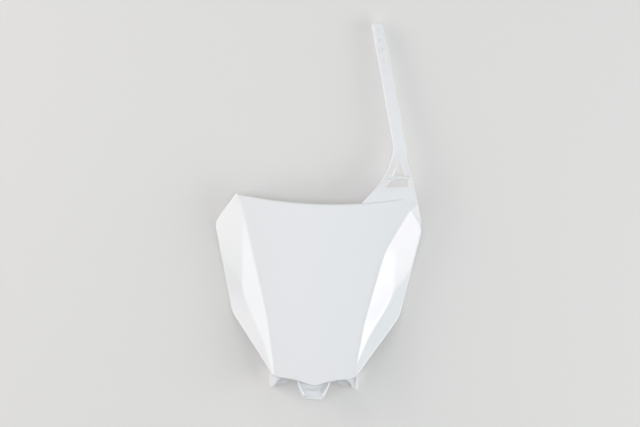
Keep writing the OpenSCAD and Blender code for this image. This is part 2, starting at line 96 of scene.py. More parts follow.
def unit(v: Array) -> Array:
    """Returns v, or each row of v, at length 1."""
    return v / np.linalg.norm(v, axis=-1, keepdims=True)


def right_of(v: Array) -> Array:
    """Returns each row of v turned a quarter clockwise."""
    return np.stack([v[..., 1], -v[..., 0]], axis=-1)


def bend(a: Array, b: Array, c: Array, reach: float, count: int) -> Array:
    """Rounds corner b between the edges to a and c.

    The curve is the quadratic (1-t)2 p + 2t(1-t) b + t2 q, where p and q lie reach away from b.

    Args:
        a: Point before the corner.
        b: The corner.
        c: Point after the corner.
        reach: Length along each edge that the rounding takes.
        count: Number of steps along the curve.

    Returns:
        The points of the curve, count + 1 of them.
    """
    p, q = b + unit(a - b) * reach, b + unit(c - b) * reach
    t = np.linspace(0, 1, count + 1)[:, None]
    return (1 - t) ** 2 * p + 2 * t * (1 - t) * b + t**2 * q


def cubic(a: Array, b: Array, c: Array, d: Array, count: int) -> Array:
    """Draws the cubic Bezier curve from a to d.

    The curve is (1-t)3 a + 3(1-t)2 t b + 3(1-t) t2 c + t3 d.

    Args:
        a: Its first point.
        b: Point that it leaves the first one towards.
        c: Point that it comes to the last one from.
        d: Its last point.
        count: Number of steps along the curve.

    Returns:
        The points of the curve, count + 1 of them.
    """
    t = np.linspace(0, 1, count + 1)[:, None]
    s = 1 - t
    return s**3 * a + 3 * s**2 * t * b + 3 * s * t**2 * c + t**3 * d


def dense(points: Array, pitch: float, closed: bool = False) -> Array:
    """Divides the straight runs of a path so that no step is longer than pitch.

    Args:
        points: Corner points, one row each.
        pitch: Longest step wanted.
        closed: Whether the last point is joined to the first.

    Returns:
        The divided path, which keeps every corner point.
    """
    ends = np.roll(points, -1, axis=0) if closed else points[1:]
    parts = []
    for a, b in zip(points, ends):
        n = max(1, math.ceil(np.linalg.norm(b - a) / pitch))
        parts.append(lerp(a, b, (np.arange(n) / n)[:, None]))
    return np.concatenate(parts if closed else parts + [points[-1:]])


def inside(points: Array, loops: Sequence[Array]) -> Array:
    """Tells which points lie in the material: a ray to the right crosses the loops an odd number of times.

    Args:
        points: The points, one row each.
        loops: The outline and the openings.

    Returns:
        Whether each point lies in the material.
    """
    crossings = np.zeros(len(points), dtype=int)
    px, py = points[:, :1], points[:, 1:]
    for loop in loops:
        ax, ay = loop.T
        bx, by = np.roll(loop, -1, axis=0).T
        spans = (ay > py) != (by > py)
        with np.errstate(divide="ignore", invalid="ignore"):
            hit = ax + (py - ay) * (bx - ax) / (by - ay)
        crossings += np.sum(spans & (px < hit), axis=1)
    return crossings % 2 == 1


def outward(loop: Array) -> Array:
    """Works out how each corner of a loop moves when its edges move out.

    It goes along the middle m of the two edges' normals n, by m / (m . n) and by 2 m at most.

    Args:
        loop: The loop's points, one row each.

    Returns:
        For each point, its move when both its edges move out by 1.
    """
    before = right_of(unit(loop - np.roll(loop, 1, axis=0)))
    after = right_of(unit(np.roll(loop, -1, axis=0) - loop))
    middle = unit(before + after)
    return middle / np.maximum(np.sum(middle * before, axis=1, keepdims=True), 0.5)


@dataclass
class Surface:
    """One or more closed shells in millimetres: their points, and arrays of faces as rows of indices."""

    points: Array
    faces: list[Array]

    @staticmethod
    def joined(parts: Sequence["Surface"]) -> "Surface":
        """Joins surfaces side by side.

        Args:
            parts: The surfaces.

        Returns:
            One surface that holds them all.
        """
        starts = np.cumsum([0] + [len(p.points) for p in parts[:-1]])
        faces = [group + start for p, start in zip(parts, starts) for group in p.faces]
        return Surface(np.concatenate([p.points for p in parts]), faces)

    def moved(self, axes: Sequence[Sequence[float]], origin: Sequence[float]) -> "Surface":
        """Returns the surface with its three coordinates laid along the given axes, from the origin."""
        return Surface(self.points @ np.array(axes, dtype=float) + np.array(origin, dtype=float), self.faces)


def grid_faces(rows: int, cols: int, start: int, flip: bool) -> Array:
    """Lays the four-cornered faces of a grid of points.

    Args:
        rows: Number of rows of points.
        cols: Number of points in a row.
        start: Index of the grid's first point.
        flip: Whether the faces look down.

    Returns:
        The faces as rows of indices.
    """
    a = (start + np.arange(rows - 1)[:, None] * cols + np.arange(cols - 1)).ravel()
    order = [a, a + cols, a + cols + 1, a + 1] if flip else [a, a + 1, a + cols + 1, a + cols]
    return np.stack(order, axis=1)


def rim_faces(rings: Array) -> Array:
    """Lays the faces between closed rings of indices, one ring below the other.

    Args:
        rings: The rings, one row each.

    Returns:
        The faces as rows of indices.
    """
    a, b = rings[:-1], rings[1:]
    quads = [a, b, np.roll(b, -1, axis=1), np.roll(a, -1, axis=1)]
    return np.stack(quads, axis=-1).reshape(-1, 4)


def tube_faces(rings: int, count: int) -> list[Array]:
    """Lays the faces of a tube of rings of count points, with both its ends closed."""
    ids = np.arange(rings * count).reshape(rings, count)
    return [rim_faces(ids), ids[:1], ids[-1:, ::-1]]


def edge_profile(radius: float, steps: int) -> tuple[Array, Array]:
    """Returns the quarter round of an edge: how far out each ring lies, and how far it has dropped."""
    angle = np.linspace(0, math.pi / 2, steps + 1)[1:]
    return radius * np.sin(angle), radius * (1 - np.cos(angle))


def rounded_rim(plan: Array, out: Array, top: Array, under: Array, radius: float, steps: int) -> Array:
    """Carries a rounded edge along a loop: a quarter round, a straight wall and a quarter round.

    Args:
        plan: The loop on the flat faces, where the rounding starts, in plan.
        out: Direction and measure outwards at each of its points.
        top: Depth of the upper face at each of its points.
        under: Depth of the lower face there.
        radius: Radius of the rounding.
        steps: Steps in each quarter.

    Returns:
        The rings between the two faces, from the top one down, as an array of rings of points.
    """
    reach, drop = edge_profile(radius, steps)
    upper = [np.column_stack([plan + r * out, top - d]) for r, d in zip(reach, drop)]
    lower = [np.column_stack([plan + r * out, under + d]) for r, d in zip(reach, drop)]
    return np.stack(upper + lower[::-1])


def plate(loops: Sequence[Array], top: Depth, under: Depth, radius: float, pitch: float) -> Surface:
    """Makes a plate with rounded edges from its outline and the loops of its openings.

    The two faces are the heights top(x, y) and under(x, y) over one triangulation of the plan, whose
    points are the loops and a square lattice between them.

    Args:
        loops: The outline, anticlockwise, and then the openings, clockwise.
        top: Height of the upper face over the plan.
        under: Height of the lower face over the plan.
        radius: Radius of the rounded edges.
        pitch: Spacing of the lattice and of the points along the loops.

    Returns:
        The closed surface.
    """
    loops = [dense(loop, pitch, closed=True) for loop in loops]
    outs = [outward(loop) for loop in loops]
    insets = [loop - radius * out for loop, out in zip(loops, outs)]
    border = np.concatenate(insets)
    low, high = border.min(axis=0), border.max(axis=0)
    lattice = np.stack(np.meshgrid(*[np.arange(a + pitch / 2, b, pitch) for a, b in zip(low, high)]), axis=-1)
    lattice = lattice.reshape(-1, 2)
    lattice = lattice[inside(lattice, insets)]
    gaps = np.linalg.norm(lattice[:, None] - border[None], axis=2).min(axis=1)
    plan = np.concatenate([border, lattice[gaps > 0.6 * pitch]])
    triangles = triangulated(plan, [len(i) for i in insets])
    triangles = triangles[inside(plan[triangles].mean(axis=1), insets)]

    count = len(plan)
    points = [np.column_stack([plan, top(*plan.T)]), np.column_stack([plan, under(*plan.T)])]
    faces = [triangles, triangles[:, ::-1] + count]
    start, first = 2 * count, 0
    for inset, out in zip(insets, outs):
        size = len(inset)
        ids = np.arange(first, first + size)
        rings = rounded_rim(inset, out, points[0][ids, 2], points[1][ids, 2], radius, 3)
        ring_ids = start + np.arange(len(rings) * size).reshape(len(rings), size)
        faces.append(rim_faces(np.vstack([ids[None], ring_ids, ids[None] + count])))
        points.append(rings.reshape(-1, 3))
        start, first = start + len(rings) * size, first + size
    return Surface(np.concatenate(points), faces)


def triangulated(plan: Array, loop_sizes: Sequence[int]) -> Array:
    """Triangulates points in the plane so that the loops at their start stay edges.

    Args:
        plan: The points, those of the loops first.
        loop_sizes: Number of points in each loop.

    Returns:
        Triangles, anticlockwise, as rows of indices into plan.
    """
    edges, first = [], 0
    for size in loop_sizes:
        ids = np.arange(size)
        edges += np.stack([first + ids, first + (ids + 1) % size], axis=1).tolist()
        first += size
    result = geometry.delaunay_2d_cdt([Vector(p) for p in plan.tolist()], edges, [], 0, 1e-6)
    origin = np.array([o[0] if o else -1 for o in result[3]])
    triangles = origin[np.array(result[2])]
    a, b, c = (plan[triangles[:, i]] for i in range(3))
    area = (b[:, 0] - a[:, 0]) * (c[:, 1] - a[:, 1]) - (b[:, 1] - a[:, 1]) * (c[:, 0] - a[:, 0])
    return np.where(area[:, None] < 0, triangles[:, ::-1], triangles)


def wall(path: Array, thick: float, tops: Array, bottoms: Array, radius: float) -> Surface:
    """Carries the section of an upright wall with a rounded lower edge along a path.

    Args:
        path: Middle line of the wall in plan, one row each.
        thick: Thickness of the wall.
        tops: Height of its top at each point of the path.
        bottoms: Height of its lower edge at each point.
        radius: Radius of the two lower corners.

    Returns:
        The closed surface, with flat ends.
    """
    left = -right_of(unit(np.gradient(path, axis=0)))
    reach, drop = edge_profile(radius, 3)
    across = np.concatenate([[0.0], reach]) + thick / 2 - radius
    rise = bottoms[:, None] + np.concatenate([[0.0], drop])
    sides = np.concatenate([[thick / 2], across[::-1], -across, [-thick / 2]])
    heights = np.column_stack([tops, rise[:, ::-1], rise, tops])
    plan = path[:, None] + left[:, None] * sides[None, :, None]
    points = np.concatenate([plan, heights[..., None]], axis=2)
    return Surface(points.reshape(-1, 3), tube_faces(*heights.shape))


def circle(count: int) -> Array:
    """Returns count points of the circle of radius 1, (cos a, sin a), anticlockwise."""
    angle = np.arange(count) * 2 * math.pi / count
    return np.column_stack([np.cos(angle), np.sin(angle)])


def turned(profile: Array, count: int = 32) -> Surface:
    """Turns a profile round the Z axis, (r cos a, r sin a, z), and closes both its ends.

    Args:
        profile: Rows of radius and height.
        count: Number of points round the axis.

    Returns:
        The closed surface.
    """
    rings = profile[:, None, :1] * circle(count)
    heights = np.repeat(profile[:, None, 1:], count, axis=1)
    points = np.concatenate([rings, heights], axis=2)
    return Surface(points.reshape(-1, 3), tube_faces(len(profile), count))


@dataclass(frozen=True)
class Form:
    """Outline of the board and the depth of its face, with the folds set by the photograph."""

    # Outline: points of the right side, and the curves of the bottom and top edges.
    chin: tuple[float, float] = (41.0, -90.5)
    foot: tuple[float, float] = (47.5, -87.2)
    hip: tuple[float, float] = (96.1, -18.6)
    shoulder: tuple[float, float] = (119.5, 84.2)
    corner: tuple[float, float] = (95.4, 118.0)
    chin_tip: float = -98.6
    chin_rise: float = 0.085
    chin_nose: float = 16.0
    top_middle: float = 108.8
    hip_round: float = 5.5
    shoulder_round: float = 7.0
    # Walls, and the line of the rib from ear to ear.
    wall: float = 2.4
    rib_wall: float = 2.2
    cross_y: float = -85.0
    # Panel: its crown, and its middle ridge with its radii at the foot and at the top.
    crown: float = 1.2
    ridge_slope: float = 0.04
    ridge_round: tuple[float, float] = (1.5, 14.0)
    # Fold beside the panel: it leans more above the ankle than below it, and flares under the strap.
    waist: float = 61.3
    fold_lean: float = 0.254
    ankle: tuple[float, float] = (50.9, -50.2)
    ankle_lean: float = 0.165
    ankle_soft: float = 0.5
    strap_flare: float = 0.32
    strap_flare_y: float = 58.0
    strap_flare_soft: float = 6.0
    fold_shift: float = 1.2
    fold_soft: float = 0.8
    # Step and wings: the pairs are slopes at the foot and at the top.
    field_soft: float = 0.6
    step: float = 85.5
    step_slope: tuple[float, float] = (0.9, 0.72)
    wing_slope: tuple[float, float] = (0.445, 0.51)
    low_wing_slope: float = 0.30
    twist_low_y: float = -41.0
    # Crease above the lower wing: the pairs are for the left and the right wing.
    crease_soft: float = 4.0
    crease_high_y: float = 9.7
    crease_high: tuple[float, float] = (90.6, 92.3)
    crease_slant: tuple[float, float] = (0.54, 0.68)
    crease_low_y: float = -47.3
    crease_low: tuple[float, float] = (59.0, 54.6)
    crease_lean: float = 0.3
    crease_bend: tuple[float, float] = (1.5, 6.0)
    # Rolled rim along the top edge.
    rim: float = 2.6
    rim_drop: float = 0.5

    def top_edge(self, x: Array) -> Array:
        """Returns the height of the hollow top edge at x: a parabola."""
        return lerp(self.top_middle, self.corner[1], (x / self.corner[0]) ** 2)

    def chin_edge(self, x: Array) -> Array:
        """Works out the bottom edge: a shallow V with a rounded dip in its middle, exp(-(x/nose)2).

        Args:
            x: Place across the board.

        Returns:
            The edge's height on the board.
        """
        nose = self.chin[1] - self.chin_tip - self.chin_rise * self.chin[0]
        rise = self.chin_rise * (self.chin[0] - np.abs(x))
        return self.chin[1] - rise - nose * np.exp(-((x / self.chin_nose) ** 2))

    def side_edge(self, pitch: float, rim_steps: int) -> Array:
        """Draws the right edge, from the bottom edge up to the top corner.

        Args:
            pitch: Longest step along the edge.
            rim_steps: Number of steps over the rolled rim at its end.

        Returns:
            The edge's points.
        """
        chin, foot, hip = np.array(self.chin), np.array(self.foot), np.array(self.hip)
        shoulder, corner = np.array(self.shoulder), np.array(self.corner)
        rim_start = corner + unit(shoulder - corner) * self.rim
        bends = np.concatenate([
            bend(foot, hip, shoulder, self.hip_round, 8),
            bend(hip, shoulder, corner, self.shoulder_round, 8),
        ])
        run = dense(np.vstack([chin, foot, bends, rim_start]), pitch)
        return np.vstack([run[:-1], dense(np.vstack([rim_start, corner]), self.rim / rim_steps)])

    def fold_x(self, y: Array, right: Array | bool) -> Array:
        """Returns how far out the panel's fold runs: two straight lines, which swing out under the strap.

        Args:
            y: Height on the board.
            right: Whether the right side is meant, on which the strap stands.

        Returns:
            The distance from the middle.
        """
        thigh = self.waist + self.fold_lean * y
        shin = self.ankle[0] + self.ankle_lean * (y - self.ankle[1])
        swing = self.strap_flare * soft_max(y - self.strap_flare_y, 0.0, self.strap_flare_soft)
        return soft_max(thigh, shin, self.ankle_soft) + np.where(right, swing + self.fold_shift, 0.0)

    def crease_x(self, y: Array, right: Array | bool) -> Array:
        """Returns how far out the lower wing's crease runs at y: two straight lines, rounded where they meet.

        Args:
            y: Height on the board.
            right: Whether the right wing is meant. The crease's pairs hold its left and right numbers.

        Returns:
            The distance from the middle.
        """
        pairs = (self.crease_high, self.crease_slant, self.crease_low, self.crease_bend)
        high, slant, low, soft = (np.where(right, pair[1], pair[0]) for pair in pairs)
        slanted = high + slant * (y - self.crease_high_y)
        steep = low + self.crease_lean * (y - self.crease_low_y)
        return soft_max(slanted, steep, soft)

    def step_x(self, y: Array, right: Array | bool) -> Array:
        """Returns how far from the middle the steep step beside the panel ends at y."""
        return np.minimum(self.step, self.crease_x(y, right))

    def panel_z(self, x: Array, y: Array) -> Array:
        """Returns the depth of the panel: a crown, and a middle ridge that is sharper at its foot."""
        k = lerp(*self.ridge_round, (y - self.chin_tip) / (self.corner[1] - self.chin_tip))
        return -self.crown * (x / self.waist) ** 2 - self.ridge_slope * (np.sqrt(x * x + k * k) - k)

    def twisted(self, slopes: tuple[float, float], y: Array) -> Array:
        """Returns the slope of a twisting field at y, between its slopes at the foot and at the top."""
        return lerp(*slopes, ease((y - self.twist_low_y) / (self.corner[1] - self.twist_low_y)))

    def step_z(self, x: Value, y: Array, right: Array | bool) -> Array:
        """Returns the depth of the steep step, which falls straight from the fold."""
        w = self.fold_x(y, right)
        return self.panel_z(w, y) - self.twisted(self.step_slope, y) * (x - w)

    def wing_z(self, x: Array, y: Array) -> Array:
        """Returns the depth of the upper wing."""
        return self.step_z(self.step, y, False) - self.twisted(self.wing_slope, y) * (x - self.step)

    def low_wing_z(self, x: Array, y: Array, right: Array) -> Array:
        """Returns the depth of the lower wing, which hangs on the crease and falls away from it.

        Args:
            x: Distance from the middle.
            y: Height on the board.
            right: Whether the right wing is meant.

        Returns:
            The depth.
        """
        crease_x = self.crease_x(y, right)
        crease_z = soft_max(self.step_z(crease_x, y, False), self.wing_z(crease_x, y), self.crease_soft)
        return crease_z - self.low_wing_slope * (x - crease_x)

    def face_z(self, px: Array, y: Array) -> Array:
        """Returns the depth of the face: the panel over the fields beside it, in soft creases.

        Args:
            px: Place across the board.
            y: Height on the board.

        Returns:
            The depth.
        """
        x, right = np.abs(px), px >= 0
        upper = soft_max(self.step_z(x, y, right), self.wing_z(x, y), self.field_soft)
        outer = soft_max(upper, self.low_wing_z(x, y, right), self.field_soft)
        rolled = self.rim_drop * (1 - np.clip((self.top_edge(x) - y) / self.rim, 0, 1)) ** 2
        return soft_min(self.panel_z(x, y), outer, self.fold_soft) - rolled

    def behind_z(self, x: Array, y: Array, thick: float) -> Array:
        """Returns a depth behind the face: z - thick * sqrt(1 + gx2 + gy2), with the face's slopes gx and gy.

        Args:
            x: Place across the board.
            y: Height on the board.
            thick: Distance behind the face, measured square to it.

        Returns:
            The depth.
        """
        probe = 0.05
        gx = (self.face_z(x + probe, y) - self.face_z(x - probe, y)) / (2 * probe)
        gy = (self.face_z(x, y + probe) - self.face_z(x, y - probe)) / (2 * probe)
        return self.face_z(x, y) - thick * np.sqrt(1 + gx * gx + gy * gy)

    def inside_z(self, x: Array, y: Array) -> Array:
        """Returns the middle of the skin's wall, where whatever stands behind the skin ends."""
        return self.behind_z(x, y, self.wall / 2)


class Maker:
    """Puts surfaces into Blender as finished pieces of the part."""

    def __init__(self) -> None:
        """Works out where the drawing's millimetres lie in the row frame."""
        low, high = (np.array(corner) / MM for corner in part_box(NODE))
        self.ground = -(high[2] - low[2])
        self.shift = np.array([0.0, low[1] + Tongue.end_drop, high[2]])

    def piece(self, name: str, surface: Surface, finish: bpy.types.Material) -> bpy.types.Object:
        """Makes a piece from a surface, dresses it and lets it ride.

        Args:
            name: The piece's name.
            surface: Its closed surface.
            finish: Its material.

        Returns:
            The new object, at the origin, with its place in its mesh.
        """
        mesh = bpy.data.meshes.new(name)
        faces = [face for group in surface.faces for face in group.tolist()]
        mesh.from_pydata(((surface.points + self.shift) * MM).tolist(), [], faces)
        shell = bmesh.new()
        shell.from_mesh(mesh)
        bmesh.ops.remove_doubles(shell, verts=shell.verts, dist=1e-6)
        bmesh.ops.recalc_face_normals(shell, faces=shell.faces)
        shell.to_mesh(mesh)
        shell.free()
        mesh.shade_smooth()
        mesh.set_sharp_from_angle(angle=math.radians(SHARP_DEG))
        mesh.materials.append(finish)
        piece = bpy.data.objects.new(name, mesh)
        bpy.context.scene.collection.objects.link(piece)
        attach(piece, BODY)
        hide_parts(NODE)
        log.info("%s: %d faces", name, len(mesh.polygons))
        return piece


@dataclass
class Skin:
    """The folded front skin, a sheet of even wall with a rounded edge all round."""

    form: Form
    pitch: float = 1.7
    rim_steps: int = 5
    edge_radius: float = 0.95
    fields: tuple[int, ...] = (24, 9, 9, 4, 13, 2)
    fold_band: float = 1.8
    step_band: float = 2.0
    edge_band: float = 3.0
    fold_room: float = 12.0
    step_room: tuple[float, float] = (3.0, 5.4)

    def columns(self, edge: Array, side: Side) -> Array:
        """Lays the grid's columns: dense across the fold and across the outer edge of the step.

        Args:
            edge: Points of the side edge, one row of the grid each.
            side: Side of the board that the columns lie on.

        Returns:
            Distances from the middle, one row for each row of the grid.
        """
        x, y = edge.T
        right, band = side is Side.RIGHT, self.fold_band * self.form.fold_soft
        fold = np.minimum(self.form.fold_x(y, right), x - self.fold_room)
        step = np.clip(self.form.step_x(y, right), fold + band + self.step_room[0], x - self.step_room[1])
        knots = np.stack([0 * x, fold - band, fold + band, step - self.step_band, step + self.step_band,
                          x - self.edge_band, x], axis=1)
        runs = [lerp(knots[:, i:i + 1], knots[:, i + 1:i + 2], np.arange(n) / n)
                for i, n in enumerate(self.fields)]
        return np.concatenate(runs + [knots[:, -1:]], axis=1)

    def row_y(self, edge: Array, x: Array) -> Array:
        """Returns the heights of the rows: level with the side edge, bowed like the top and bottom edges.

        Args:
            edge: Points of the side edge, one row of the grid each.
            x: Distances from the middle.

        Returns:
            The height of each point of the grid.
        """
        form = self.form
        ex, ey = edge[:, :1], edge[:, 1:]
        share = (ey - form.chin[1]) / (form.corner[1] - form.chin[1])
        high = form.top_edge(form.corner[0] * x / ex) - form.corner[1]
        low = form.chin_edge(form.chin[0] * x / ex) - form.chin[1]
        return ey + share**2 * high + (1 - share) ** 2 * low

    def surface(self) -> Surface:
        """Works out the skin: face_z over the grid, the wall behind it, and a rounded rim between.

        Returns:
            The closed surface.
        """
        form = self.form
        edge = form.side_edge(self.pitch, self.rim_steps)
        left, right = self.columns(edge, Side.LEFT), self.columns(edge, Side.RIGHT)
        x = np.concatenate([-left[:, :0:-1], right], axis=1)
        y = np.concatenate([self.row_y(edge, left)[:, :0:-1], self.row_y(edge, right)], axis=1)
        rows, cols = x.shape
        ids = np.arange(rows * cols).reshape(rows, cols)
        loop = np.concatenate([ids[0, :-1], ids[:-1, -1], ids[-1, :0:-1], ids[:0:-1, 0]])
        plan = np.stack([x, y], axis=-1).reshape(-1, 2)
        out = outward(plan[loop])
        plan[loop] -= self.edge_radius * out
        top, under = form.face_z(*plan.T), form.behind_z(*plan.T, form.wall)
        rings = rounded_rim(plan[loop], out, top[loop], under[loop], self.edge_radius, 4)
        ring_ids = 2 * rows * cols + np.arange(len(rings) * len(loop)).reshape(len(rings), -1)
        faces = [grid_faces(rows, cols, 0, False), grid_faces(rows, cols, rows * cols, True),
                 rim_faces(np.vstack([loop[None], ring_ids, loop[None] + rows * cols]))]
        points = [np.column_stack([plan, top]), np.column_stack([plan, under]), rings.reshape(-1, 3)]
        return Surface(np.concatenate(points), faces)

    def build(self, maker: Maker, finish: bpy.types.Material) -> None:
        """Builds the skin."""
        maker.piece("board_skin", self.surface(), finish)


@dataclass
class Strap:
    """The strap, its A-shaped root and the cross bar of the root."""

    form: Form
    # Strap: from the knee, where it leaves its root, to its tip.
    thick: float = 3.0
    root_width: float = 15.0
    tip_width: float = 13.0
    knee: tuple[float, float] = (90.4, 177.0)
    length: float = 146.4
    lean: float = 12.0
    fall: float = 3.0
    knee_depth: float = 13.0
    # Root: its depth behind the board, and how it dives along the slanted corner.
    root_depth: float = 6.25
    root_tilt: float = 0.06
    root_dive: float = 0.70
    dive_soft: float = 3.0
    fold_share: float = 0.37
    root_left: float = 49.0
    # Holes, cross bar, eye and slot.
    hole: float = 3.2
    holes: int = 4
    hole_pitch: float = 12.1
    hole_end: float = 8.0
    bar_y: float = 139.3
    bar_width: float = 4.4
    bar_lean: float = 0.08
    bar_reach: float = 2.5
    bar_sink: float = 0.6
    eye_top: float = 162.4
    eye_width: float = 14.4
    slot_width: float = 19.0
    slot_height: float = 7.6
    slot_left: float = 6.0
    slot_right: float = 1.4
    opening_round: float = 1.6
    # Tip, edges and mesh.
    tip_power: float = 0.7
    edge_radius: float = 0.7
    pitch: float = 2.4

    def face_z(self, x: Array, y: Array) -> Array:
        """Returns the depth of the strap's face, which falls to the tip and follows the slanted corner.

        Args:
            x: Place across the board.
            y: Height on the board.

        Returns:
            The depth.
        """
        top = self.form.corner[1]
        t = ease((self.knee[1] - y) / (self.knee[1] - top))
        past = math.tan(math.radians(self.fall)) * np.maximum(y - self.knee[1], 0)
        corner, shoulder = np.array(self.form.corner), np.array(self.form.shoulder)
        end = lerp(corner, shoulder, self.fold_share)
        along = unit(shoulder - corner)
        dive = soft_max((x - end[0]) * along[0] + (y - end[1]) * along[1], 0.0, self.dive_soft)
        slant = self.root_tilt * (x - self.knee[0]) + self.root_dive * dive
        return -lerp(self.knee_depth, self.root_depth, t) - t * slant - past

    def on_strap(self, across: Array, up: Array) -> Array:
        """Places points on the leaning strap: knee + across (cos, sin) + up (-sin, cos).

        Args:
            across: Their places across the strap.
            up: Their way up the strap from the knee.

        Returns:
            The points.
        """
        angle = math.radians(self.lean)
        side = np.array([math.cos(angle), math.sin(angle)])
        return np.array(self.knee) + np.multiply.outer(across, side) - np.multiply.outer(up, right_of(side))

    def on_bar(self, x: float, rise: float) -> tuple[float, float]:
        """Returns a point at x beside the knee's line, rise above the cross bar's lower edge."""
        return self.knee[0] + x, self.bar_y + self.bar_lean * x + rise

    def outline(self, seat: Array) -> Array:
        """Draws the outline, anticlockwise, from the seat behind the top edge and round the strap.

        Args:
            seat: Line inside the board's edge on which the root ends, from its left to its right.

        Returns:
            The outline's points.
        """
        form = self.form
        knee, half = np.array(self.knee), self.root_width / 2
        height = self.knee[1] - form.corner[1]
        left_knee, right_knee = knee - [half, 0], knee + [half, 0]
        left_foot = np.array([self.root_left, form.top_edge(self.root_left) + 1])
        right_foot = np.array(form.shoulder) + [-1.4, 0.7 * form.shoulder_round]
        # Each leg leaves the knee nearly straight down and swings out to its foot.
        left_leg = cubic(left_knee, left_knee + [-0.4, -0.45 * height],
                         left_foot + [0.32 * height, 0.34 * height], left_foot, 28)
        right_leg = cubic(right_knee, right_knee + [0.6, -0.32 * height],
                          right_foot + [-0.21 * height, height], right_foot, 28)
        r = self.tip_width / 2
        angle = np.linspace(0, math.pi, 25)
        across = np.sign(np.cos(angle)) * np.abs(np.cos(angle)) ** self.tip_power
        tip = self.on_strap(r * across, self.length - r + r * np.abs(np.sin(angle)) ** self.tip_power)
        return np.concatenate([right_leg[::-1], tip, left_leg, seat])

    def openings(self) -> list[Array]:
        """Draws the openings: the holes, the three-cornered eye and the slot below the bar.

        Returns:
            Their loops, clockwise.
        """
        across, up = (self.hole / 2 * circle(28) * [1, -1]).T
        centres = self.length - self.hole_end - self.hole_pitch * np.arange(self.holes)
        rounds = [self.on_strap(across, c + up) for c in centres]
        eye_half, slot_half = self.eye_width / 2, self.slot_width / 2
        eye = np.array([self.on_bar(-eye_half, self.bar_width), (self.knee[0] + 0.2, self.eye_top),
                        self.on_bar(eye_half, self.bar_width)])
        slot = np.array([self.on_bar(-slot_half, 0), self.on_bar(slot_half, 0),
                         self.on_bar(slot_half + self.slot_right, -self.slot_height),
                         self.on_bar(-slot_half - self.slot_left, -self.slot_height)])
        return rounds + [rounded(eye, self.opening_round), rounded(slot, self.opening_round)]

    def bar(self) -> Surface:
        """Works out the cross bar: a round rod between the root's legs, with domed ends inside them.

        Returns:
            The closed surface.
        """
        half, r = self.slot_width / 2 + self.bar_reach, self.bar_width / 2
        ends = [np.array(self.on_bar(side.value * half, r)) for side in Side]
        a, b = (np.append(e, self.face_z(*e) - self.bar_sink * r) for e in ends)
        angle = np.linspace(0.15, math.pi / 2, 6)
        cap = np.column_stack([r * np.sin(angle), -r * np.cos(angle)])
        profile = np.vstack([cap * [1, -1] + [0, np.linalg.norm(b - a)], cap[::-1]])
        way = unit(b - a)
        across = unit(np.cross(way, [0, 0, 1]))
        return turned(profile).moved([across, np.cross(way, across), way], a)

    def build(self, maker: Maker, finish: bpy.types.Material, seat: Array) -> None:
        """Builds the strap with its root, and the cross bar.

        Args:
            maker: Makes the pieces.
            finish: Their material.
            seat: Line inside the board's edge on which the root ends.
        """
        loops = [self.outline(seat)] + self.openings()
        sheet = plate(loops, self.face_z, lambda x, y: self.face_z(x, y) - self.thick, self.edge_radius,
                      self.pitch)
        maker.piece("strap", sheet, finish)
        maker.piece("cross_bar", self.bar(), finish)


def rounded(corners: Array, reach: float) -> Array:
    """Returns a loop of corners with each one rounded over the given reach."""
    before, after = np.roll(corners, 1, axis=0), np.roll(corners, -1, axis=0)
    return np.concatenate([bend(a, b, c, reach, 5) for a, b, c in zip(before, corners, after)])


def level(height: float) -> Depth:
    """Returns a level face at the given height, for a plate."""
    return lambda x, y: np.full(np.shape(x), float(height))


def level_plate(loops: Sequence[Array], top: float, under: float, radius: float,
                pitch: float = 3.0) -> Surface:
    """Makes a plate between two level faces.

    Args:
        loops: The outline, anticlockwise, and then the openings, clockwise.
        top: Height of the upper face.
        under: Height of the lower face.
        radius: Radius of the rounded edges.
        pitch: Spacing of its points.

    Returns:
        The closed surface.
    """
    return plate(loops, level(top), level(under), radius, pitch)


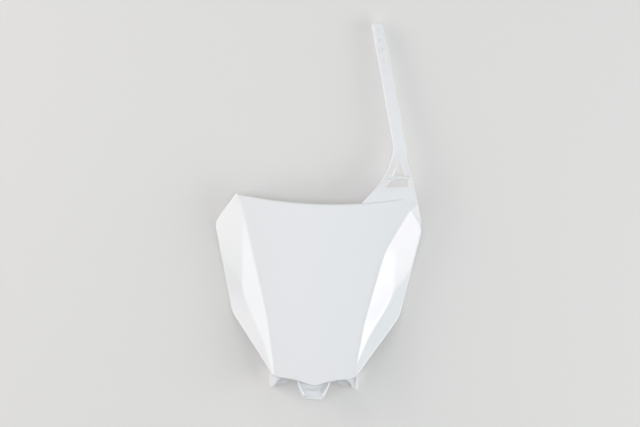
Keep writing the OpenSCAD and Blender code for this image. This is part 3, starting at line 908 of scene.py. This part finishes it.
@dataclass
class Back:
    """What stands behind the skin: the flange, the ribs, the bolt shelf and the strap's prong."""

    form: Form
    strap: Strap
    # Flange and ribs.
    flange_depth: float = 9.0
    flange_inset: float = 0.5
    rib_depth: float = 7.0
    rib_span: float = 64.0
    edge_radius: float = 0.7
    # Bolt shelf: its size, its gussets and its hole, from the hole's middle to the edge.
    shelf_width: float = 40.0
    shelf_depth: float = 25.0
    shelf_thick: float = 3.6
    shelf_y: float = 30.0
    shelf_round: float = 2.5
    gusset_share: float = 0.8
    bolt: float = 6.6
    bolt_edge: float = 8.5
    # Prong: its place below the top edge, and its play in a strap hole.
    prong_x: float = -74.0
    prong_below: float = 9.0
    prong_neck: float = 4.2
    prong_gap: float = 0.4

    def flange_path(self) -> Array:
        """Draws the line of the flange, just inside the board's edge.

        Returns:
            Its points, from the left shoulder along the top edge to the right one.
        """
        form = self.form
        corner, shoulder = np.array(form.corner), np.array(form.shoulder)
        slant_top = corner + unit(shoulder - corner) * form.rim
        slant_low = shoulder + unit(corner - shoulder) * form.shoulder_round
        slant = lerp(slant_top, slant_low, np.linspace(0, 1, 9)[:, None])
        x = np.linspace(-corner[0], corner[0], 61)
        top = np.column_stack([x, form.top_edge(x)])
        path = np.concatenate([slant[::-1] * [-1, 1], top, slant])
        return path + right_of(unit(np.gradient(path, axis=0))) * (form.rib_wall / 2 + self.flange_inset)

    def seat(self) -> Array:
        """Returns the part of the flange's line on which the strap's root ends, from left to right."""
        path = self.flange_path()
        return path[path[:, 0] > self.strap.root_left]

    def flange(self) -> Surface:
        """Works out the flange, which is deeper where it carries the strap's root.

        Returns:
            The closed surface.
        """
        form, strap = self.form, self.strap
        path = self.flange_path()
        x, y = path.T
        root = strap.face_z(x, y) - strap.thick / 2
        deepest = strap.face_z(*np.array(form.shoulder)) - strap.thick / 2
        plain = np.maximum(form.face_z(x, y) - self.flange_depth, deepest)
        bottoms = np.where(x > strap.root_left, np.minimum(plain, root), plain)
        return wall(path, form.rib_wall, form.inside_z(x, y), bottoms, self.edge_radius)

    def ribs(self) -> Surface:
        """Works out the two upright ribs behind the panel.

        Returns:
            The ribs as one surface.
        """
        form, parts = self.form, []
        for side in Side:
            x = side.value * self.rib_span / 2
            y = np.linspace(form.cross_y, form.top_edge(x) - form.rib_wall, 60)
            path = np.column_stack([np.full_like(y, x), y])
            bottoms = form.face_z(*path.T) - self.rib_depth
            parts.append(wall(path, form.rib_wall, form.inside_z(*path.T), bottoms, self.edge_radius))
        return Surface.joined(parts)

    def shelf(self) -> Surface:
        """Works out the bolt shelf with its hole and its two gussets.

        Returns:
            The three forms as one surface.
        """
        half, depth, rib = self.shelf_width / 2, self.shelf_depth, self.form.rib_wall
        nose, seat = 1.2 * self.bolt_edge, -self.form.wall / 2
        outline = np.array([(-half, -depth / 2), (-nose, -depth), (nose, -depth), (half, -depth / 2),
                            (half, seat), (-half, seat)])
        hole = self.bolt / 2 * circle(40) * [1, -1] + [0, self.bolt_edge - depth]
        board = level_plate([rounded(outline, self.shelf_round), hole], self.shelf_thick / 2,
                            -self.shelf_thick / 2, 0.5)
        parts = [board.moved([(1, 0, 0), (0, 0, 1), (0, -1, 0)], (0, self.shelf_y, 0))]
        reach = self.gusset_share * depth
        gusset = np.array([(0, -depth / 2), (0, seat), (-reach, seat), (-reach, 3 * seat)])
        web = level_plate([gusset[::-1]], rib / 2, -rib / 2, 0.4)
        for side in Side:
            parts.append(web.moved([(0, 1, 0), (0, 0, 1), (1, 0, 0)],
                                   (side.value * (half - rib), self.shelf_y, 0)))
        return Surface.joined(parts)

    def prong(self) -> Surface:
        """Works out the prong over which a strap hole is hooked: a foot, a neck and a wider head.

        Returns:
            The closed surface.
        """
        y = self.form.top_edge(self.prong_x) - self.prong_below
        wall_mm = self.form.wall
        foot = float(self.form.inside_z(np.array(self.prong_x), np.array(y))) - wall_mm
        neck = (self.strap.hole - self.prong_gap) / 2
        tip = -self.prong_neck
        profile = np.array([(2.2 * neck, wall_mm / 2), (2.2 * neck, 0.4 - wall_mm), (2.0 * neck, -wall_mm),
                            (neck, -wall_mm), (neck, tip), (1.5 * neck, tip), (0.9 * neck, tip - 1.4 * neck)])
        return turned(profile).moved(np.eye(3), (self.prong_x, y, foot))

    def build(self, maker: Maker, finish: bpy.types.Material) -> None:
        """Builds each form behind the skin.

        Args:
            maker: Makes the pieces.
            finish: Their material.
        """
        maker.piece("top_flange", self.flange(), finish)
        maker.piece("panel_ribs", self.ribs(), finish)
        maker.piece("bolt_shelf", self.shelf(), finish)
        maker.piece("strap_prong", self.prong(), finish)


@dataclass
class Tongue:
    """The channel tongue at the foot: a floor, two rims, two fine ridges and a low lip."""

    form: Form
    # Plan: half widths at the root, at the shoulders and at the end, and where these lie.
    half_widths: tuple[float, float, float] = (18.6, 12.8, 9.4)
    neck_y: float = -96.4
    nose: float = 3.8
    end_drop: float = 114.8
    # Section: rims, channel, hidden cheeks at the root, ridges and lip.
    rim: float = 3.2
    rim_z: float = -3.8
    channel: float = 2.2
    cheek: tuple[float, float] = (2.2, 5.5)
    ridge: float = 0.9
    ridge_rise: float = 4.2
    ridge_gap: float = 2.0
    lip: float = 1.2
    lip_width: float = 2.2
    lip_inset: float = 0.3
    sunk: float = 1.0

    def edge(self, inset: float) -> Array:
        """Draws the right edge in plan, from the cross rib down to the end.

        Args:
            inset: How far the edge is moved in.

        Returns:
            Its four points.
        """
        root, shoulder, tip = (w - inset for w in self.half_widths)
        top_y, shoulder_y = self.form.cross_y, self.nose - self.end_drop
        return np.array([(root, top_y), (root, self.neck_y), (shoulder, shoulder_y), (tip, -self.end_drop)])

    def surface(self) -> Surface:
        """Works out the tongue from plates: floor, rims, hidden cheeks, ridges and lip.

        Returns:
            The plates as one surface.
        """
        form, floor_z = self.form, self.rim_z - self.channel
        sunk_z = floor_z - self.sunk
        outer, inner = self.edge(0), self.edge(self.rim)
        floor = np.concatenate([outer * [-1, 1], outer[::-1]])
        parts = [level_plate([floor], floor_z, floor_z - form.wall, 0.6)]
        for side in Side:
            s = side.value
            strip = np.concatenate([outer[:3], inner[2::-1]]) * [s, 1]
            parts.append(level_plate([strip[::-s]], self.rim_z, floor_z - form.wall / 2, 0.9, 2.5))
            x, (thick, depth) = s * (self.half_widths[0] - self.rim / 2), self.cheek
            parts.append(slab((x - thick / 2, form.cross_y - depth, floor_z),
                              (x + thick / 2, form.cross_y, -form.wall / 2), 0.3))
        half = self.half_widths[1] - self.rim
        first = (form.chin_tip - self.end_drop) / 2 + self.ridge_rise
        for y in (first, first - self.ridge_gap):
            parts.append(slab((-half, y, sunk_z), (half, y + self.ridge, floor_z + self.ridge), 0.35))
        tip, end = self.half_widths[2], self.lip_inset - self.end_drop
        parts.append(slab((-tip, end, sunk_z), (tip, end + self.lip_width, floor_z + self.lip), 0.5))
        return Surface.joined(parts)

    def build(self, maker: Maker, finish: bpy.types.Material) -> None:
        """Builds the tongue."""
        maker.piece("tongue", self.surface(), finish)


def slab(low: Sequence[float], high: Sequence[float], radius: float) -> Surface:
    """Makes a block with rounded upper and lower edges between two corners."""
    (x0, y0, z0), (x1, y1, z1) = low, high
    return level_plate([np.array([(x0, y0), (x1, y0), (x1, y1), (x0, y1)])], z1, z0, radius)


@dataclass
class Ears:
    """The two ears at the foot, on which the board lies, and the rib that ties them together."""

    form: Form
    width: float = 101.4
    thick: float = 2.6
    start_y: float = -66.0
    end_y: float = -101.6
    start_depth: float = 9.6
    deepening: float = 1.8
    web_z: float = -5.2
    web_width: float = 15.0
    cross_rib_z: float = -13.0
    shelf_width: float = 24.0
    edge_radius: float = 0.6

    def webs(self) -> tuple[Array, Array]:
        """Draws the right ear's curved upper web and its low shelf, as seen from above.

        Returns:
            The loops of the web and of the shelf, clockwise.
        """
        far, low, inner_y = (self.width - self.thick) / 2, self.end_y, self.form.cross_y
        chin, brim_end = self.form.chin[1], far - self.shelf_width
        hook = np.array([(far - 2, low), (far - 5, low + 0.6), (far - 6.5, chin - 5),
                         (far - 8.5, chin - 3.6)])
        sweep = np.array([(far - 9.5, chin - 3), (far - 11, chin - 2.2), (far - 13, chin - 2.4),
                          (far - self.web_width, inner_y)])
        brim = np.array([(far - 1, low + 3.6), (far - 8, low + 2.6), (brim_end + 7, low + 2.6),
                         (brim_end, chin - 3)])
        web = [[(far, inner_y), (far, low + 0.6)], cubic(*hook, 10), cubic(*sweep, 8)]
        shelf = [[(far, inner_y), (far, low + 4)], cubic(*brim, 12), [(brim_end - 1, inner_y)]]
        return np.concatenate(web), np.concatenate(shelf)

    def ear(self, side: Side, ground: float) -> Surface:
        """Works out one ear: an upright wall that deepens to the ground, its curved web and its low shelf.

        Args:
            side: Side of the board that the ear stands on.
            ground: Height of the ground on the drawing.

        Returns:
            The closed surfaces.
        """
        form, sign = self.form, side.value
        share = np.linspace(0, 1, 33)
        x = np.full_like(share, sign * (self.width - self.thick) / 2)
        path = np.column_stack([x, lerp(self.start_y, self.end_y, share)])
        bottoms = lerp(-self.start_depth, ground, ease(self.deepening * share))
        parts = [wall(path, self.thick, form.inside_z(*path.T), bottoms, 0.8)]
        for loop, top in zip(self.webs(), (self.web_z, self.cross_rib_z + form.rib_wall)):
            drawn = (loop * [sign, 1])[::-sign]
            parts.append(level_plate([drawn], top, top - form.rib_wall, self.edge_radius, 2.5))
        return Surface.joined(parts)

    def cross_rib(self) -> Surface:
        """Works out the rib from ear to ear, hidden behind the bottom edge.

        Returns:
            The closed surface.
        """
        form = self.form
        x = np.linspace(-1, 1, 81) * (self.width - self.thick) / 2
        path = np.column_stack([x, np.full_like(x, form.cross_y)])
        bottoms = np.full_like(x, self.cross_rib_z)
        return wall(path, form.rib_wall, form.inside_z(*path.T), bottoms, self.edge_radius)

    def build(self, maker: Maker, finish: bpy.types.Material) -> None:
        """Builds both ears and the cross rib.

        Args:
            maker: Makes the pieces.
            finish: Their material.
        """
        for side in Side:
            maker.piece(f"ear_{side.name.lower()}", self.ear(side, maker.ground), finish)
        maker.piece("cross_rib", self.cross_rib(), finish)


class Number:
    """A number in a shader: Python operators on it add Math nodes."""

    def __init__(self, shader: "Shader", socket: bpy.types.NodeSocket) -> None:
        """Wraps an output socket of a shader's node."""
        self.shader = shader
        self.socket = socket

    def _math(self, operation: str, first: "Operand", second: "Operand") -> "Number":
        """Adds a Math node for an operation on two numbers or sockets."""
        node = self.shader.node("ShaderNodeMath", {"operation": operation}, {0: first, 1: second})
        return Number(self.shader, node.outputs[0])

    def __add__(self, other: "Operand") -> "Number":
        """Adds."""
        return self._math("ADD", self, other)

    __radd__ = __add__

    def __sub__(self, other: "Operand") -> "Number":
        """Subtracts."""
        return self._math("SUBTRACT", self, other)

    def __mul__(self, other: "Operand") -> "Number":
        """Multiplies."""
        return self._math("MULTIPLY", self, other)


Operand = Number | float


class Shader:
    """The node tree of a material or a world, built one node at a time."""

    def __init__(self, owner: bpy.types.Material | bpy.types.World) -> None:
        """Starts an empty tree.

        Args:
            owner: The new material or world that the tree belongs to.
        """
        self.owner = owner
        owner.use_nodes = True
        self.tree = owner.node_tree
        self.tree.nodes.clear()

    def node(self, kind: str, settings: dict | None = None, sockets: dict | None = None) -> bpy.types.Node:
        """Adds one node.

        Args:
            kind: The node's type.
            settings: Its settings, set before its sockets.
            sockets: Values, numbers or sockets for its inputs, by name or place.

        Returns:
            The new node.
        """
        node = self.tree.nodes.new(kind)
        for key, value in (settings or {}).items():
            setattr(node, key, value)
        for key, value in (sockets or {}).items():
            source = value.socket if isinstance(value, Number) else value
            if isinstance(source, bpy.types.NodeSocket):
                self.tree.links.new(source, node.inputs[key])
            else:
                node.inputs[key].default_value = source
        return node

    def noise(self, where: bpy.types.NodeSocket, scale: float, detail: float) -> Number:
        """Adds a noise pattern on a coordinate and returns its value, from 0 to 1."""
        node = self.node("ShaderNodeTexNoise", {}, {"Vector": where, "Scale": scale, "Detail": detail})
        return Number(self, node.outputs["Fac"])

    def finish(self, surface: bpy.types.Node, output: str = "ShaderNodeOutputMaterial") -> bpy.types.ID:
        """Joins the surface to an output node of that type and returns the material or world."""
        self.node(output, {}, {"Surface": surface.outputs[0]})
        return self.owner


@dataclass(frozen=True)
class WhitePlastic:
    """Injection-moulded white polypropylene: a satin gloss with the mould's faint orange peel."""

    pale: tuple[float, float, float] = (0.792, 0.799, 0.81)
    deep: tuple[float, float, float] = (0.784, 0.792, 0.805)
    rough: float = 0.26
    rough_spread: float = 0.03
    cloud_pitch: float = 1 / 9
    flow_pitch: float = 0.02
    peel_pitch: float = 0.0045
    grain_pitch: float = 0.0006
    bump: float = 0.12
    bump_height: float = 0.0002
    depth_share: float = 0.08
    depth_reach: float = 0.004
    ior: float = 1.49

    def material(self) -> bpy.types.Material:
        """Builds the material on Object coordinates, with patterns sized in metres.

        Returns:
            The material.
        """
        shader = Shader(bpy.data.materials.new("white_plastic"))
        where = shader.node("ShaderNodeTexCoord").outputs["Object"]
        cloud = shader.noise(where, 1 / self.cloud_pitch, 2.0)
        flow = shader.noise(where, 1 / self.flow_pitch, 3.0)
        peel = shader.noise(where, 1 / self.peel_pitch, 1.0)
        grain = shader.noise(where, 1 / self.grain_pitch, 1.0)
        tint = shader.node("ShaderNodeMix", {"data_type": "RGBA"},
                           {"Factor": cloud * 0.7 + flow * 0.3, 6: (*self.pale, 1), 7: (*self.deep, 1)})
        bump = shader.node("ShaderNodeBump", {}, {
            "Strength": self.bump, "Distance": self.bump_height, "Height": peel * 0.8 + grain * 0.2})
        glossy = shader.node("ShaderNodeBsdfPrincipled", {}, {
            "Base Color": tint.outputs[2],
            "Roughness": self.rough + (flow - 0.5) * self.rough_spread + (grain - 0.5) * self.rough_spread,
            "IOR": self.ior,
            "Subsurface Weight": self.depth_share,
            "Subsurface Radius": (self.depth_reach,) * 3,
            "Subsurface Scale": 1.0,
            "Normal": bump.outputs["Normal"],
        })
        return shader.finish(glossy)


@dataclass(frozen=True)
class StudioPaper:
    """Matt pale paper that the board lies on. The camera sees a share of an even tone in it."""

    grey: tuple[float, float, float] = (0.74, 0.74, 0.74)
    lift: tuple[float, float, float] = (0.791, 0.770, 0.722)
    lift_share: float = 0.25

    def material(self) -> bpy.types.Material:
        """Builds the paper's material: matt grey, mixed with the even tone for camera rays alone.

        Returns:
            The material.
        """
        shader = Shader(bpy.data.materials.new("studio_paper"))
        matt = shader.node("ShaderNodeBsdfDiffuse", {}, {"Color": (*self.grey, 1)})
        even = shader.node("ShaderNodeEmission", {}, {"Color": (*self.lift, 1), "Strength": 1.0})
        seen = Number(shader, shader.node("ShaderNodeLightPath").outputs["Is Camera Ray"])
        both = shader.node("ShaderNodeMixShader", {}, {
            0: seen * self.lift_share, 1: matt.outputs[0], 2: even.outputs[0]})
        return shader.finish(both)


@dataclass(frozen=True)
class Softbox:
    """A soft rectangular lamp that faces the board: its direction, its size and its strength."""

    name: str
    azimuth: float
    elevation: float
    watts: float
    colour: tuple[float, float, float] = (1.0, 1.0, 1.0)
    distance: float = 2.4
    size: tuple[float, float] = (1.3, 1.3)

    def place(self) -> Vector:
        """Returns where it hangs. Azimuth 0 lies up the board and 90 to its right."""
        a, e = math.radians(self.azimuth), math.radians(self.elevation)
        return Vector((math.sin(a) * math.cos(e), math.cos(a) * math.cos(e), math.sin(e))) * self.distance

    def build(self) -> None:
        """Hangs the lamp, unseen by the camera."""
        lamp = bpy.data.lights.new(self.name, "AREA")
        lamp.shape = "RECTANGLE"
        lamp.size, lamp.size_y = self.size
        lamp.energy = self.watts
        lamp.color = self.colour
        holder = bpy.data.objects.new(self.name, lamp)
        holder.location = self.place()
        holder.rotation_euler = (-self.place()).to_track_quat("-Z", "Y").to_euler()
        holder.visible_camera = False
        bpy.context.scene.collection.objects.link(holder)


@dataclass
class Studio:
    """The pale ground, the lamps round it and the backdrop."""

    ground_half: float = 6.0
    backdrop: tuple[float, float, float] = (0.76, 0.76, 0.76)
    lamps: tuple[Softbox, ...] = (
        Softbox("right_low", 90, 12, 35.5, (0.95, 0.99, 1.00)),
        Softbox("right_front_low", 112, 12, 5.3, (0.85, 0.42, 1.00)),
        Softbox("left_front_low", 248, 12, 10.4, (0.62, 0.86, 1.00)),
        Softbox("left_back_low", 292, 12, 44.8, (1.00, 0.92, 0.83)),
        Softbox("back", 0, 25, 10.0, (1.00, 1.00, 1.00)),
        Softbox("right_front", 120, 25, 19.5, (1.00, 0.94, 0.87)),
        Softbox("left_front", 240, 25, 6.4, (0.98, 1.00, 0.73)),
        Softbox("left", 270, 25, 4.7, (1.00, 0.62, 0.89)),
        Softbox("right_high", 90, 52, 6.9, (0.64, 1.00, 0.80)),
        Softbox("left_high", 270, 52, 10.5, (0.99, 0.97, 1.00)),
        Softbox("overhead", 0, 90, 13.5, (0.84, 0.87, 1.00)),
    )

    def build(self) -> None:
        """Lays the ground, hangs the lamps and sets the backdrop."""
        half = self.ground_half
        corners = [(-half, -half, 0), (half, -half, 0), (half, half, 0), (-half, half, 0)]
        mesh = bpy.data.meshes.new("ground")
        mesh.from_pydata(corners, [], [(0, 1, 2, 3)])
        mesh.materials.append(StudioPaper().material())
        ground = bpy.data.objects.new("ground", mesh)
        bpy.context.scene.collection.objects.link(ground)
        for lamp in self.lamps:
            lamp.build()
        self.surround()

    def surround(self) -> None:
        """Shows the camera a pale backdrop that lights nothing."""
        shader = Shader(bpy.data.worlds.new("surround"))
        seen = shader.node("ShaderNodeLightPath").outputs["Is Camera Ray"]
        dark = shader.node("ShaderNodeBackground", {}, {"Strength": 0.0})
        pale = shader.node("ShaderNodeBackground", {}, {"Color": (*self.backdrop, 1), "Strength": 1.0})
        both = shader.node("ShaderNodeMixShader", {}, {0: seen, 1: dark.outputs[0], 2: pale.outputs[0]})
        bpy.context.scene.world = shader.finish(both, "ShaderNodeOutputWorld")


@dataclass
class Camera:
    """The photograph's view: straight down on the board, turned a little in the frame."""

    lens: float = 110.0
    sensor: float = 36.0
    frame_width: float = 0.7296
    turn_deg: float = 1.8
    aim: tuple[float, float] = (0.0012, -0.0047)

    def build(self, face_height: float) -> None:
        """Places the camera so that the frame spans frame_width at the height of the board's face.

        Args:
            face_height: Height of the panel over the ground, in metres.
        """
        lens = bpy.data.cameras.new("camera")
        lens.lens, lens.sensor_width = self.lens, self.sensor
        lens.clip_end = 50
        camera = bpy.data.objects.new("camera", lens)
        away = self.frame_width * self.lens / self.sensor
        middle = Matrix.Translation((*self.aim, face_height))
        turn = Matrix.Rotation(math.radians(self.turn_deg), 4, "Z")
        camera.matrix_world = middle @ turn @ Matrix.Translation((0, 0, away))
        bpy.context.scene.collection.objects.link(camera)
        bpy.context.scene.camera = camera


def main() -> None:
    """Builds the studio and the board in order."""
    logging.basicConfig(level=logging.INFO, format="%(name)s %(message)s")
    bpy.context.scene.view_settings.view_transform = "Standard"
    form = Form()
    maker = Maker()
    Studio().build()
    Camera().build(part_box(NODE)[1][2])
    plastic = WhitePlastic().material()
    strap = Strap(form)
    back = Back(form, strap)
    Skin(form).build(maker, plastic)
    strap.build(maker, plastic, back.seat())
    back.build(maker, plastic)
    Tongue(form).build(maker, plastic)
    Ears(form).build(maker, plastic)


if __name__ == "__main__":
    main()
